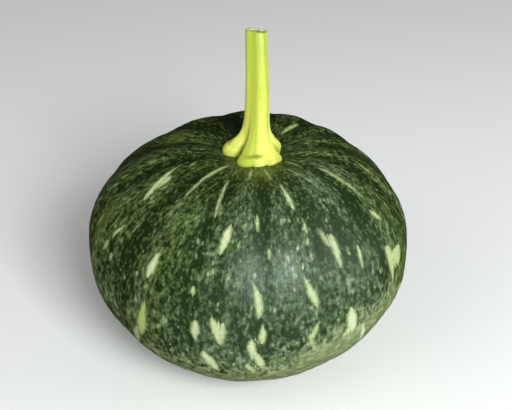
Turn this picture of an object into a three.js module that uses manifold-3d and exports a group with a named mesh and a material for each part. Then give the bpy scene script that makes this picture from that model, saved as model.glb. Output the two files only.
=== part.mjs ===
// A whole kabocha squash, standing on its blossom end with the stem up.
//
// Units are millimetres and +Z is up. The origin is the middle of the flat spot that the squash rests on.
// Longitude goes round the squash from its front, which faces -Y, and grows towards +X.
//
// The squash has two pieces. The fruit is one solid, as an uncut squash is, with fourteen shallow ribs, a hollow
// crown and a flattened blossom end. The stem has five ridges and a knobbly flared foot, which sits in the hollow.

import * as THREE from "three";
import { mergeVertices } from "three/addons/utils/BufferGeometryUtils.js";
import Module from "manifold-3d";

// The fruit's size.
const BODY_RADIUS = 90; // at the equator, over the crests of the ribs
const SHOULDER_RISE = 74; // from the equator's plane to the crown, before the crown is hollowed
const BELLY_DROP = 60; // from the equator's plane to the blossom end, before it is flattened
const CROWN_HOLLOW_DEPTH = 14;
const CROWN_HOLLOW_RADIUS = 36;
const CROWN_SHIFT = 4.5; // how far the crown sits to the right of the blossom end

// The flat spot under the fruit, and the ring round its blossom scar.
const SEAT_RADIUS = 17;
const SCAR_RING = { outer: 8, inner: 5, depth: 1 };

// The ribs. The grooves between them stand at these longitudes, in degrees, as seen in the photograph.
const GROOVES = [-22, 4, 30, 55, 79, 101, 121, 141, 168, 198, 226, 254, 282, 311];
const GROOVE_DEPTH = 1.4;
const GROOVE_HALF_WIDTH = 6.5; // degrees
const VALLEY_SHARE = 0.55; // of the groove's depth, in the narrow valley; the rest is the round of the ribs
const SWELL = 1.1; // the low, wide unevenness of a grown thing

// Its left and right sides are fuller at the shoulders and slimmer below the equator. The angles are in radians.
const SIDE_SWELLS = [
  { height: 2, polar: 1.15, halfWidth: 0.3 },
  { height: -2, polar: 1.95, halfWidth: 0.35 },
];

// The stem. Its five ridges stand at these longitudes, in degrees.
const STEM_HEIGHT = 68; // from the crown's middle to the cut
const RIDGES_AT_FOOT = [-92, 32, 126, 174, 222];
const RIDGES_AT_CUT = [-76, 22, 124, 174, 226];
const RIDGE_HEIGHT = 1.3;
const STEM_BOW = { sideways: 0.8, back: 9 }; // how far its middle bows to the right, and how far back the cut sits
const STEM_DRIFT = 0.3; // how far right of the foot the cut sits
const SHAFT_RADII = [[0, 7.4], [0.12, 7], [0.3, 6.5], [0.6, 6], [0.95, 5.5], [1, 5.3]]; // height share, radius

// The foot of the stem. It has knobs with creases between them, and the front ones run together. Each knob has its
// longitude and half-width in degrees. Reach is how far the foot goes out, lip how high its rounded edge is, and
// flare the height over which it narrows to the shaft above that.
const FOOT_CREASE = { reach: 10, lip: 3.6, flare: 2.6 };
const FOOT_KNOBS = [
  { longitude: -100, halfWidth: 26, reach: 18.4, lip: 5.2, flare: 5.4 },
  { longitude: -28, halfWidth: 22, reach: 16.2, lip: 4.4, flare: 5.6 },
  { longitude: 6, halfWidth: 24, reach: 14.6, lip: 4.5, flare: 5 },
  { longitude: 44, halfWidth: 26, reach: 16.2, lip: 4.6, flare: 4.4 },
  { longitude: 116, halfWidth: 32, reach: 13.6, lip: 7, flare: 3.6 },
  { longitude: 190, halfWidth: 28, reach: 15, lip: 5.2, flare: 5 },
];
const LIP_NOTCH = 1; // the crease over the lip

// The cut at the top of the stem.
const CUT_RIM = 1.2; // how wide its rim is
const CUT_HOLLOW = 2.4; // how deep its dry middle sinks
const CUT_SLOPE = 0.16; // how much it falls to the right
const ROOT_DEPTH = 7; // how far the stem's blank reaches into the fruit, before the fruit is cut from it
const STEM_CLEARANCE = 0.3; // between the stem's foot and the fruit

// How finely each piece is faceted.
const FRUIT_STEPS = { around: 84, down: 38 };
const STEM_STEPS = { around: 50, up: 26 };

const radians = THREE.MathUtils.degToRad;
const smooth = THREE.MathUtils.smoothstep;

const seatPolar = Math.PI - Math.asin(SEAT_RADIUS / BODY_RADIUS);
const equatorHeight = -BELLY_DROP * Math.cos(seatPolar);

// A point from its longitude in degrees, its distance from the axis and its height.
function cylindrical(longitude, across, up) {
  const turn = radians(longitude);
  return new THREE.Vector3(across * Math.sin(turn), -across * Math.cos(turn), up);
}

// The signed difference of two longitudes, from -180 to 180.
function turnBetween(a, b) {
  return ((((a - b) % 360) + 540) % 360) - 180;
}

// How many degrees a longitude is past the mark before it, and short of the mark after it.
function neighbours(longitude, marks) {
  const turns = marks.map((mark) => turnBetween(longitude, mark));
  const past = Math.min(...turns.filter((turn) => turn >= 0));
  const short = Math.min(...turns.filter((turn) => turn < 0).map((turn) => -turn));
  return { past, short };
}

// How deep the fruit dips between its ribs at a longitude: 0 on a crest and 1 in a groove.
function ribDip(longitude) {
  const { past, short } = neighbours(longitude, GROOVES);
  const valley = Math.exp(-((Math.min(past, short) / GROOVE_HALF_WIDTH) ** 2));
  const round = 0.5 + 0.5 * Math.cos((2 * Math.PI * past) / (past + short));
  return VALLEY_SHARE * valley + (1 - VALLEY_SHARE) * round;
}

// The grooves are deepest on the shoulder, and fade into the crown and the blossom end.
function ribStrength(polar) {
  const fromCrown = smooth(Math.sin(polar), 0.08, 0.5);
  return polar < Math.PI / 2 ? fromCrown * (0.45 + 0.55 * Math.cos(polar)) : 0.45 + 0.25 * Math.cos(polar);
}

function swell(longitude, polar) {
  const turn = radians(longitude);
  const wide = Math.sin(2 * turn + 0.8) * Math.sin(polar);
  const narrow = Math.sin(3 * turn - 1.1) * Math.sin(2 * polar);
  let sides = 0;
  for (const side of SIDE_SWELLS) sides += side.height * Math.exp(-(((polar - side.polar) / side.halfWidth) ** 2));
  return SWELL * (0.6 * wide + 0.5 * narrow) + sides * Math.sin(turn) ** 2;
}

// A point of the fruit's skin. The polar angle is 0 at the crown, and grow moves the skin out.
function fruitPoint(longitude, polar, grow = 0) {
  const rise = polar < Math.PI / 2 ? SHOULDER_RISE : BELLY_DROP;
  const outward = new THREE.Vector2(Math.sin(polar) / BODY_RADIUS, Math.cos(polar) / rise).normalize();
  const settle = smooth(seatPolar - polar, 0, 0.5); // 0 at the flat spot, which stays round and level
  const relief = settle * (swell(longitude, polar) - GROOVE_DEPTH * ribStrength(polar) * ribDip(longitude));
  const bareAcross = BODY_RADIUS * Math.sin(polar);
  const hollow = polar < Math.PI / 2 ? CROWN_HOLLOW_DEPTH * Math.exp(-((bareAcross / CROWN_HOLLOW_RADIUS) ** 2)) : 0;
  const across = bareAcross + outward.x * (relief + grow);
  const up = equatorHeight + rise * Math.cos(polar) - hollow + outward.y * (relief + grow);
  const point = cylindrical(longitude, across, Math.max(up, 0));
  point.x += CROWN_SHIFT * (1 - smooth(polar, 0.3, 1.1));
  return point;
}

// A closed surface through rings of points that run from its top to its bottom. The first and last rings are
// single points.
function loft(rings) {
  const count = rings[1].length;
  const positions = rings.flat().flatMap((point) => point.toArray());
  const start = (ring) => (ring === 0 ? 0 : 1 + (ring - 1) * count);
  const triangles = [];
  for (let ring = 0; ring < rings.length - 1; ring++) {
    for (let i = 0; i < count; i++) {
      const next = (i + 1) % count;
      const upper = [start(ring) + i, start(ring) + next];
      const lower = [start(ring + 1) + i, start(ring + 1) + next];
      if (ring === 0) triangles.push(0, lower[0], lower[1]);
      else if (ring === rings.length - 2) triangles.push(upper[0], start(ring + 1), upper[1]);
      else triangles.push(upper[0], lower[0], lower[1], upper[0], lower[1], upper[1]);
    }
  }
  const geometry = new THREE.BufferGeometry();
  geometry.setAttribute("position", new THREE.Float32BufferAttribute(positions, 3));
  geometry.setIndex(triangles);
  geometry.computeVertexNormals();
  return geometry;
}

function ringOf(count, pointAt) {
  return Array.from({ length: count }, (_, i) => pointAt((360 * i) / count));
}

// The whole fruit. With grow it is the same skin moved out, which cuts the stem's foot to shape.
function fruitGeometry(grow = 0) {
  const { around, down } = FRUIT_STEPS;
  const rings = [[fruitPoint(0, 0, grow)]];
  for (let i = 1; i <= down; i++) {
    const polar = (seatPolar * i) / down;
    rings.push(ringOf(around, (longitude) => fruitPoint(longitude, polar, grow)));
  }
  const scar = [
    [SCAR_RING.outer, 0],
    [SCAR_RING.outer - 0.8, SCAR_RING.depth],
    [SCAR_RING.inner + 0.8, SCAR_RING.depth],
    [SCAR_RING.inner, 0],
  ];
  for (const [across, up] of scar) rings.push(ringOf(around, (longitude) => cylindrical(longitude, across, up)));
  rings.push([new THREE.Vector3(0, 0, 0)]);
  return loft(rings);
}

const crown = fruitPoint(0, 0);

// The stem's centre line, from the crown's middle at share 0 to the cut at share 1.
function stemCentre(share) {
  const bow = STEM_BOW.sideways * Math.sin(Math.PI * share) + STEM_DRIFT * share;
  return new THREE.Vector3(crown.x + bow, STEM_BOW.back * share ** 1.8, crown.z + STEM_HEIGHT * share);
}

function shaftRadius(share) {
  const above = SHAFT_RADII.findIndex(([height]) => height >= share);
  if (above <= 0) return SHAFT_RADII[0][1];
  const [lowHeight, lowRadius] = SHAFT_RADII[above - 1];
  const [highHeight, highRadius] = SHAFT_RADII[above];
  return THREE.MathUtils.mapLinear(share, lowHeight, highHeight, lowRadius, highRadius);
}

// 1 on the stem's ridges, which turn a little on their way up, and 0 in the valleys between them.
function stemRidge(longitude, share) {
  const marks = RIDGES_AT_FOOT.map((foot, i) => THREE.MathUtils.lerp(foot, RIDGES_AT_CUT[i], share ** 0.6));
  const { past, short } = neighbours(longitude, marks);
  return 0.5 + 0.5 * Math.cos((2 * Math.PI * past) / (past + short));
}

// The foot's reach, lip and flare at a longitude.
function footForm(longitude) {
  const form = { ...FOOT_CREASE };
  for (const knob of FOOT_KNOBS) {
    const weight = Math.exp(-0.7 * (turnBetween(longitude, knob.longitude) / knob.halfWidth) ** 4);
    for (const [key, low] of Object.entries(FOOT_CREASE)) {
      form[key] = Math.max(form[key], low + (knob[key] - low) * weight);
    }
  }
  return form;
}

// The stem's radius at a longitude and a height over the crown's middle.
function stemRadius(longitude, height) {
  const share = THREE.MathUtils.clamp(height / STEM_HEIGHT, 0, 1);
  const shaft = shaftRadius(share) + RIDGE_HEIGHT * (stemRidge(longitude, share) - 0.6);
  const { reach, lip, flare: flareHeight } = footForm(longitude);
  const overLip = height - lip;
  const flare = Math.exp(-((Math.max(0, overLip) / flareHeight) ** 1.15));
  const lipRound = 1.2 * smooth(height / lip, 0.5, 1);
  const crease = LIP_NOTCH * Math.exp(-(((overLip - 0.8) / 1.3) ** 2));
  return shaft + (reach - lipRound - shaft) * flare - crease;
}

// The stem before the fruit is cut from its foot.
function stemBlank() {
  const { around, up } = STEM_STEPS;
  const top = stemCentre(1);
  const lean = stemCentre(1).sub(stemCentre(0.94)).normalize();
  const level = (share) => {
    const middle = stemCentre(share);
    const tilt = new THREE.Vector3(0, 0, 1).lerp(lean, smooth(share, 0.15, 1)).normalize();
    const turn = new THREE.Quaternion().setFromUnitVectors(new THREE.Vector3(0, 0, 1), tilt);
    return (longitude, radius, sink = 0) =>
      cylindrical(longitude, radius, -sink).applyQuaternion(turn).add(middle);
  };
  const fall = (longitude, radius) => CUT_SLOPE * radius * Math.sin(radians(longitude));
  const cutLevel = level(1);
  const cut = (longitude, radius, sink) => cutLevel(longitude, radius, sink + fall(longitude, radius));
  const cutRadius = (longitude) => stemRadius(longitude, STEM_HEIGHT);
  const rings = [[top.clone().addScaledVector(lean, -CUT_HOLLOW)]];
  rings.push(ringOf(around, (longitude) => cut(longitude, 0.45 * cutRadius(longitude), 0.9 * CUT_HOLLOW)));
  rings.push(ringOf(around, (longitude) => cut(longitude, cutRadius(longitude) - CUT_RIM, 0.3)));
  rings.push(ringOf(around, (longitude) => cut(longitude, cutRadius(longitude) - 0.4, 0)));
  for (let i = 0; i <= up; i++) {
    const share = (1 - i / up) ** 1.7; // the levels crowd towards the foot
    const at = level(share);
    const drop = i === 0 ? 0.5 : 0;
    const underCut = smooth(share, 0.75, 1);
    const pointAt = (longitude) => {
      const radius = stemRadius(longitude, STEM_HEIGHT * share);
      return at(longitude, radius, drop + underCut * fall(longitude, radius));
    };
    rings.push(ringOf(around, pointAt));
  }
  const root = level(0);
  rings.push(ringOf(around, (longitude) => root(longitude, footForm(longitude).reach - 1.5, ROOT_DEPTH)));
  rings.push([crown.clone().setZ(crown.z - ROOT_DEPTH)]);
  return loft(rings);
}

const wasm = await Module();
wasm.setup();

function toSolid(geometry) {
  const bare = geometry.clone();
  bare.deleteAttribute("normal");
  const merged = mergeVertices(bare, 1e-4);
  return new wasm.Manifold(
    new wasm.Mesh({
      numProp: 3,
      vertProperties: new Float32Array(merged.attributes.position.array),
      triVerts: new Uint32Array(merged.index.array),
    }),
  );
}

function toGeometry(solid) {
  const { vertProperties, triVerts } = solid.getMesh();
  const geometry = new THREE.BufferGeometry();
  geometry.setAttribute("position", new THREE.BufferAttribute(vertProperties, 3));
  geometry.setIndex(new THREE.BufferAttribute(triVerts, 1));
  geometry.computeVertexNormals();
  return geometry;
}

// The stem's foot lies on the fruit's skin all round, a hair clear of it.
function stemGeometry() {
  return toGeometry(toSolid(stemBlank()).subtract(toSolid(fruitGeometry(STEM_CLEARANCE))));
}

const rind = new THREE.MeshStandardMaterial({ color: 0x33472b, roughness: 0.45, metalness: 0 });
const freshStem = new THREE.MeshStandardMaterial({ color: 0xcfdc4f, roughness: 0.55, metalness: 0 });

function named(name, geometry, material) {
  const mesh = new THREE.Mesh(geometry, material);
  mesh.name = name;
  return mesh;
}

const squash = new THREE.Group();
squash.name = "kabocha_squash";
squash.add(named("fruit", fruitGeometry(), rind));
squash.add(named("stem", stemGeometry(), freshStem));

export default squash;
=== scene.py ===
"""A whole kabocha squash on a pale floor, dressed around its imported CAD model.

Shapes are worked out in millimetres, like the CAD model, and turned into metres as each mesh is made. +Z is
up. Longitude is in degrees, goes round the squash from its front, which faces -Y, and grows towards +X. The
polar angle is in radians: 0 at the crown and pi at the blossom end. Depth is the distance in millimetres
along the skin from the crown.
"""

import itertools
import math
from typing import NamedTuple

import bpy
import numpy as np
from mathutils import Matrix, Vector
from mathutils.bvhtree import BVHTree


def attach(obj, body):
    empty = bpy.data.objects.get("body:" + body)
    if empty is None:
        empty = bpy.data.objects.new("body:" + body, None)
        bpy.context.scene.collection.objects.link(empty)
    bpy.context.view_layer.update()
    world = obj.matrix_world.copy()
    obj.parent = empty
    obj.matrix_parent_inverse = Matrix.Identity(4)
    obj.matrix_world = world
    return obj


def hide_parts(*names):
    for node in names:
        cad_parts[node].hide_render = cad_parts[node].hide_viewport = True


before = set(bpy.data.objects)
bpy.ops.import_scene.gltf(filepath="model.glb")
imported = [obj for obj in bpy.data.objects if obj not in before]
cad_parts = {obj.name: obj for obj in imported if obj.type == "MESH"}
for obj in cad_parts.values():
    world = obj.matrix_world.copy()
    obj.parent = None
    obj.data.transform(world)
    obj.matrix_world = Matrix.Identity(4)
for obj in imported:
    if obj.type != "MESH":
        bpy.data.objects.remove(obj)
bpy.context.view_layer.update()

MM = 0.001

# The camera. It stands in front of the squash and looks down on it, as the photographer did.
IMAGE_WIDTH = 512
IMAGE_HEIGHT = 410
SENSOR_WIDTH = 36
LENS = 72.2
CAMERA_ELEVATION = 35  # degrees, of the line from the fruit's middle to the camera
CAMERA_DISTANCE = 0.585  # metres, from the fruit's middle
FRUIT_MIDDLE_PIXEL = (248, 246)  # where the photograph shows the middle of the fruit

# The fruit, with the CAD model's sizes.
BODY_RADIUS = 90
SHOULDER_RISE = 74
BELLY_DROP = 60
CROWN_HOLLOW_DEPTH = 14
CROWN_HOLLOW_RADIUS = 36
CROWN_SHIFT = {"distance": 4.5, "whole": 0.3, "none": 1.1}  # to the right, between two polar angles
SEAT_RADIUS = 17
SEAT_FADE = 0.5  # radians round the seat in which the ribs and swells fade out
SCAR_PROFILE = [(12, 0), (8, 0), (7.2, 1), (5.8, 1), (5, 0), (2, 0)]  # distances from the axis and heights
GROOVES = [-22, 4, 30, 55, 79, 101, 121, 141, 168, 198, 226, 254, 282, 311]
GROOVE_DEPTH = 1.4
GROOVE_HALF_WIDTH = 6.5
GROOVE_STRENGTH = {"crown": 1.0, "equator": 0.45, "blossom_end": 0.2}
GROOVE_START = (0.08, 0.5)  # the grooves grow out of the crown between these sines of the polar angle
VALLEY_SHARE = 0.55
WIDE_SWELL = {"height": 0.66, "phase": 0.8}
NARROW_SWELL = {"height": 0.55, "phase": -1.1}
SIDE_SWELLS = [
    {"height": 2.0, "polar": 1.15, "half_width": 0.3},
    {"height": -2.0, "polar": 1.95, "half_width": 0.35},
]

# The stem, with the CAD model's sizes. A share is a height as a part of the stem's height.
STEM_HEIGHT = 68
STEM_BOW = {"sideways": 0.8, "back": 9, "power": 1.8}
STEM_DRIFT = 0.3
STEM_LEAN = {"measured_from": 0.94, "starts": 0.15}  # shares
SHAFT_HEIGHTS = [0, 0.12, 0.3, 0.6, 0.95, 1]
SHAFT_RADII = [7.4, 7.0, 6.5, 6.0, 5.5, 5.3]
RIDGES_AT_FOOT = [-92, 32, 126, 174, 222]
RIDGES_AT_CUT = [-76, 22, 124, 174, 226]
RIDGE_TURN = 0.6  # the power of the share by which the ridges turn
RIDGE_HEIGHT = 1.3
RIDGE_MIDDLE = 0.6  # the part of a ridge's height that lies inside the shaft's radius
FOOT_CREASE = {"reach": 10, "lip": 3.6, "flare": 2.6}
FOOT_KNOBS = [
    {"longitude": -100, "half_width": 26, "reach": 18.4, "lip": 5.2, "flare": 5.4},
    {"longitude": -28, "half_width": 22, "reach": 16.2, "lip": 4.4, "flare": 5.6},
    {"longitude": 6, "half_width": 24, "reach": 14.6, "lip": 4.5, "flare": 5},
    {"longitude": 44, "half_width": 26, "reach": 16.2, "lip": 4.6, "flare": 4.4},
    {"longitude": 116, "half_width": 32, "reach": 13.6, "lip": 7, "flare": 3.6},
    {"longitude": 190, "half_width": 28, "reach": 15, "lip": 5.2, "flare": 5},
]
KNOB_FALL = 0.7  # how quickly a knob falls away at its sides
FLARE_POWER = 1.15
LIP_ROUND = {"depth": 1.2, "starts": 0.5}  # at this part of the lip's height
LIP_NOTCH = {"depth": 1.0, "over_lip": 0.8, "half_height": 1.3}
CUT_RIM = 1.2
CUT_HOLLOW = 2.4
CUT_SLOPE = 0.16
ROOT = {"inset": 1.5, "depth": 7}

# The rings of the cut: in its hollow, by parts of the cut's radius and of the hollow's depth, and on its
# rim, by inset and depth. The third number is the colour, from the rim's, 1, to the hollow's, 2.
CUT_RINGS = [(0.25, 1.0, 2), (0.45, 0.9, 2), (0.6, 0.4, 1.6)]
RIM_RINGS = [(CUT_RIM, 0.3, 1.2), (0.4, 0.0, 1)]
RIM_DROP = 0.5  # from the rim's top to the side of the stem
CUT_REACH = 0.75  # the share from which the side's rings take on the slope of the cut

# How dark the painted shade in the stem's folds is and where it lies, and the right side, painted lighter,
# where its valleys are as pale as its ridges.
FOLD_SHADE = {"longitude": -4, "half_width": 22, "middle": 1.1, "sides": 0.3, "over_lip": 0.9, "half_height": 1.1}
FOLD_SHADE_REACH = {"over_lip": (12, 15), "between": (15, 10.5)}  # from none of it to the whole of it
FOLD_SHADE_HEIGHT = {"between": (15, 3), "underside": (8, 3)}
KNOB_UNDERSIDE_SHADE = 0.6
PAINTED_LIT_SIDE = {"longitude": 85, "half_width": 40}

# How finely each mesh is divided.
FRUIT_STEPS = {"around": 432, "down": 218}
STEM_STEPS = {"around": 160, "up": 200, "crowding": 1.3}

# Fine relief, in millimetres. Each layer has its share, the size of its bumps, its squeeze along the piece,
# which below 1 draws it out, and an offset that sets it apart from the others.
STRIPE_RELIEF = 0.16
STRIPES = [(1.0, 4.5, 0.06, 0), (0.5, 2.4, 0.1, 200)]
STRIPE_START = (0.12, 0.5)  # sines of the polar angle
PEBBLE_RELIEF = 0.14
PEBBLES = [(1.0, 7, 1, 0), (0.5, 7 / 2.2, 1, 90)]
FIBRE_RELIEF = 0.09
FIBRES = {"size": 0.9, "squeeze": 0.05, "chart_radius": 14}
KNOB_RELIEF = 0.45
KNOB_BUMPS = {"size": 4.5, "none": 16, "whole": 5}  # between two heights over the crown

# The charts that the patterns are drawn on. At the crown and the blossom end, the skin's narrows to this
# part of the fruit's width.
CHART_WAIST = 0.55
STEM_CHART_RADIUS = 10


def smooth(value, none, whole):
    """A soft step from 0 at none to 1 at whole, which may be the lower of the two."""
    share = np.clip((value - none) / (whole - none), 0, 1)
    return share * share * (3 - 2 * share)


def bell(value, middle, half_width):
    """1 at the middle, falling away to both sides."""
    return np.exp(-(((value - middle) / half_width) ** 2))


def turn_between(a, b):
    """The signed difference of two longitudes, from -180 to 180."""
    return (a - b + 180) % 360 - 180


def cylindrical(longitude, across, up):
    """Points from their longitudes, distances from the axis and heights."""
    turn = np.radians(longitude)
    return np.stack(np.broadcast_arrays(across * np.sin(turn), -across * np.cos(turn), up), -1)


# Soft seeded noise for relief. Its grid repeats every NOISE_CELLS cells, far more than a piece spans.
NOISE_CELLS = 48
NOISE_SEED = 11
NOISE_GRID = np.random.default_rng(NOISE_SEED).uniform(-1, 1, (NOISE_CELLS,) * 3)


def soft_noise(points, size):
    """Noise from -1 to 1 at points, with bumps about as wide as size."""
    place = np.asarray(points) / size
    cell = np.floor(place).astype(int)
    share = place - cell
    share = share * share * (3 - 2 * share)
    total = 0
    for corner in itertools.product((0, 1), repeat=3):
        weight = np.prod(np.where(corner, share, 1 - share), axis=-1)
        x, y, z = np.moveaxis((cell + corner) % NOISE_CELLS, -1, 0)
        total = total + weight * NOISE_GRID[x, y, z]
    return total


def layered_noise(points, layers):
    """The sum of several layers of noise."""
    total = 0
    for share, size, squeeze, offset in layers:
        total = total + share * soft_noise(points * (1, 1, squeeze) + offset, size)
    return total


# The camera comes first, because the flecks are placed through it.
seat_polar = math.pi - math.asin(SEAT_RADIUS / BODY_RADIUS)
equator_height = -BELLY_DROP * math.cos(seat_polar)
fruit_middle = Vector((0, 0, equator_height * MM))
focal_pixels = LENS / SENSOR_WIDTH * IMAGE_WIDTH


def make_camera():
    """The camera, aimed so that the fruit's middle falls on its pixel of the photograph."""
    lift = math.radians(CAMERA_ELEVATION)
    position = fruit_middle + CAMERA_DISTANCE * Vector((0, -math.cos(lift), math.sin(lift)))
    pixel_size = CAMERA_DISTANCE / focal_pixels
    across = (IMAGE_WIDTH / 2 - FRUIT_MIDDLE_PIXEL[0]) * pixel_size
    above = (FRUIT_MIDDLE_PIXEL[1] - IMAGE_HEIGHT / 2) * pixel_size
    aim = fruit_middle + Vector((across, above * math.sin(lift), above * math.cos(lift)))
    data = bpy.data.cameras.new("camera")
    data.lens = LENS
    data.sensor_width = SENSOR_WIDTH
    camera = bpy.data.objects.new("camera", data)
    camera.location = position
    camera.rotation_euler = (aim - position).to_track_quat("-Z", "Y").to_euler()
    bpy.context.scene.collection.objects.link(camera)
    bpy.context.scene.camera = camera
    bpy.context.view_layer.update()
    return camera


camera = make_camera()


# The shape of the fruit.
def neighbours(longitude, marks):
    """How many degrees a longitude is past the mark before it, and short of the mark after it."""
    turns = turn_between(np.asarray(longitude, float)[..., None], np.asarray(marks, float))
    past = np.where(turns >= 0, turns, 360).min(-1)
    short = np.where(turns < 0, -turns, 360).min(-1)
    return past, short


def rounded(past, short):
    """1 on two neighbouring marks and 0 halfway between them."""
    return 0.5 + 0.5 * np.cos(2 * np.pi * past / (past + short))


def rib_dip(longitude):
    """How deep the fruit dips between its ribs: 0 on a crest and 1 in a groove."""
    past, short = neighbours(longitude, GROOVES)
    valley = bell(np.minimum(past, short), 0, GROOVE_HALF_WIDTH)
    return VALLEY_SHARE * valley + (1 - VALLEY_SHARE) * rounded(past, short)


def rib_strength(polar):
    """The grooves are deepest on the shoulder, and fade into the crown and the blossom end."""
    equator = GROOVE_STRENGTH["equator"]
    upper = equator + (GROOVE_STRENGTH["crown"] - equator) * np.cos(polar)
    lower = equator + (equator - GROOVE_STRENGTH["blossom_end"]) * np.cos(polar)
    return np.where(polar < np.pi / 2, smooth(np.sin(polar), *GROOVE_START) * upper, lower)


def swell(longitude, polar):
    """The low, wide unevenness of a grown thing."""
    turn = np.radians(longitude)
    wide = WIDE_SWELL["height"] * np.sin(2 * turn + WIDE_SWELL["phase"]) * np.sin(polar)
    narrow = NARROW_SWELL["height"] * np.sin(3 * turn + NARROW_SWELL["phase"]) * np.sin(2 * polar)
    sides = sum(side["height"] * bell(polar, side["polar"], side["half_width"]) for side in SIDE_SWELLS)
    return wide + narrow + sides * np.sin(turn) ** 2


def crown_shift(polar):
    """How far the skin is moved to the right round the crown."""
    return CROWN_SHIFT["distance"] * (1 - smooth(polar, CROWN_SHIFT["whole"], CROWN_SHIFT["none"]))


def fruit_points(longitude, polar, extra=0.0):
    """Points of the fruit's skin. With extra, the skin stands out by that much more, away from the seat."""
    in_upper_half = polar < np.pi / 2
    rise = np.where(in_upper_half, SHOULDER_RISE, BELLY_DROP)
    outward = np.stack([np.sin(polar) / BODY_RADIUS, np.cos(polar) / rise])
    outward = outward / np.linalg.norm(outward, axis=0)
    grooves = GROOVE_DEPTH * rib_strength(polar) * rib_dip(longitude)
    relief = smooth(seat_polar - polar, 0, SEAT_FADE) * (swell(longitude, polar) - grooves + extra)
    bare_across = BODY_RADIUS * np.sin(polar)
    hollow = np.where(in_upper_half, CROWN_HOLLOW_DEPTH * bell(bare_across, 0, CROWN_HOLLOW_RADIUS), 0)
    across = bare_across + outward[0] * relief
    up = equator_height + rise * np.cos(polar) - hollow + outward[1] * relief
    points = cylindrical(longitude, across, np.maximum(up, 0))
    points[..., 0] += crown_shift(polar)
    return points


# Depth along the skin for each polar angle, on the fruit without its ribs.
PROFILE_SAMPLES = 1500
POLAR_SAMPLES = np.linspace(0, math.pi, PROFILE_SAMPLES)
bare_rise = np.where(POLAR_SAMPLES < math.pi / 2, SHOULDER_RISE, BELLY_DROP)
bare_profile = np.stack([BODY_RADIUS * np.sin(POLAR_SAMPLES), bare_rise * np.cos(POLAR_SAMPLES)], -1)
DEPTH_SAMPLES = np.concatenate([[0], np.cumsum(np.linalg.norm(np.diff(bare_profile, axis=0), axis=1))])


def depth_at(polar):
    """Depth along the skin at a polar angle."""
    return np.interp(polar, POLAR_SAMPLES, DEPTH_SAMPLES)


def polar_at(depth):
    """The polar angle at a depth along the skin."""
    return np.interp(depth, DEPTH_SAMPLES, POLAR_SAMPLES)


def bare_radius(depth):
    """The fruit's radius at a depth, without its ribs."""
    return BODY_RADIUS * np.sin(polar_at(depth))


def fine_relief(longitude, polar):
    """Stripes along the fruit and a pebbled skin, in millimetres."""
    stripes = layered_noise(cylindrical(longitude, BODY_RADIUS, depth_at(polar)), STRIPES)
    pebbles = layered_noise(fruit_points(longitude, polar), PEBBLES)
    return smooth(np.sin(polar), *STRIPE_START) * STRIPE_RELIEF * stripes + PEBBLE_RELIEF * pebbles


def closed_loft(rings, count):
    """Points and outward faces of a closed surface through rings of count points. The first ring and the
    last are single points."""
    points = np.concatenate([np.reshape(ring, (-1, 3)) for ring in rings])
    last = len(points) - 1
    last_ring = last - count
    faces = []
    for upper in range(1, last_ring, count):
        lower = upper + count
        for i in range(count):
            after = (i + 1) % count
            faces.append((upper + i, lower + i, lower + after, upper + after))
    for i in range(count):
        after = (i + 1) % count
        faces.append((0, 1 + i, 1 + after))
        faces.append((last, last_ring + after, last_ring + i))
    return points, faces


def make_piece(name, points, faces, material):
    """A smooth-shaded mesh from points in millimetres."""
    mesh = bpy.data.meshes.new(name)
    mesh.from_pydata((np.asarray(points) * MM).tolist(), [], faces)
    mesh.polygons.foreach_set("use_smooth", [True] * len(mesh.polygons))
    mesh.materials.append(material)
    mesh.update()
    piece = bpy.data.objects.new(name, mesh)
    bpy.context.scene.collection.objects.link(piece)
    return piece


def store(piece, name, values):
    """Stores a number or a vector on each vertex, for the material to read."""
    kind, key = ("FLOAT_VECTOR", "vector") if values.ndim == 2 else ("FLOAT", "value")
    attribute = piece.data.attributes.new(name, kind, "POINT")
    attribute.data.foreach_set(key, np.ascontiguousarray(values, np.float32).ravel())


# Materials.
def linear(red, green, blue):
    """A colour as the screen shows it, from 0 to 255, as linear light by the sRGB formula."""
    channels = [channel / 255 for channel in (red, green, blue)]
    return tuple(c / 12.92 if c <= 0.04045 else ((c + 0.055) / 1.055) ** 2.4 for c in channels) + (1,)


PATTERN_MIDDLE = 0.5  # of a noise, or of the skin's lightness


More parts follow.
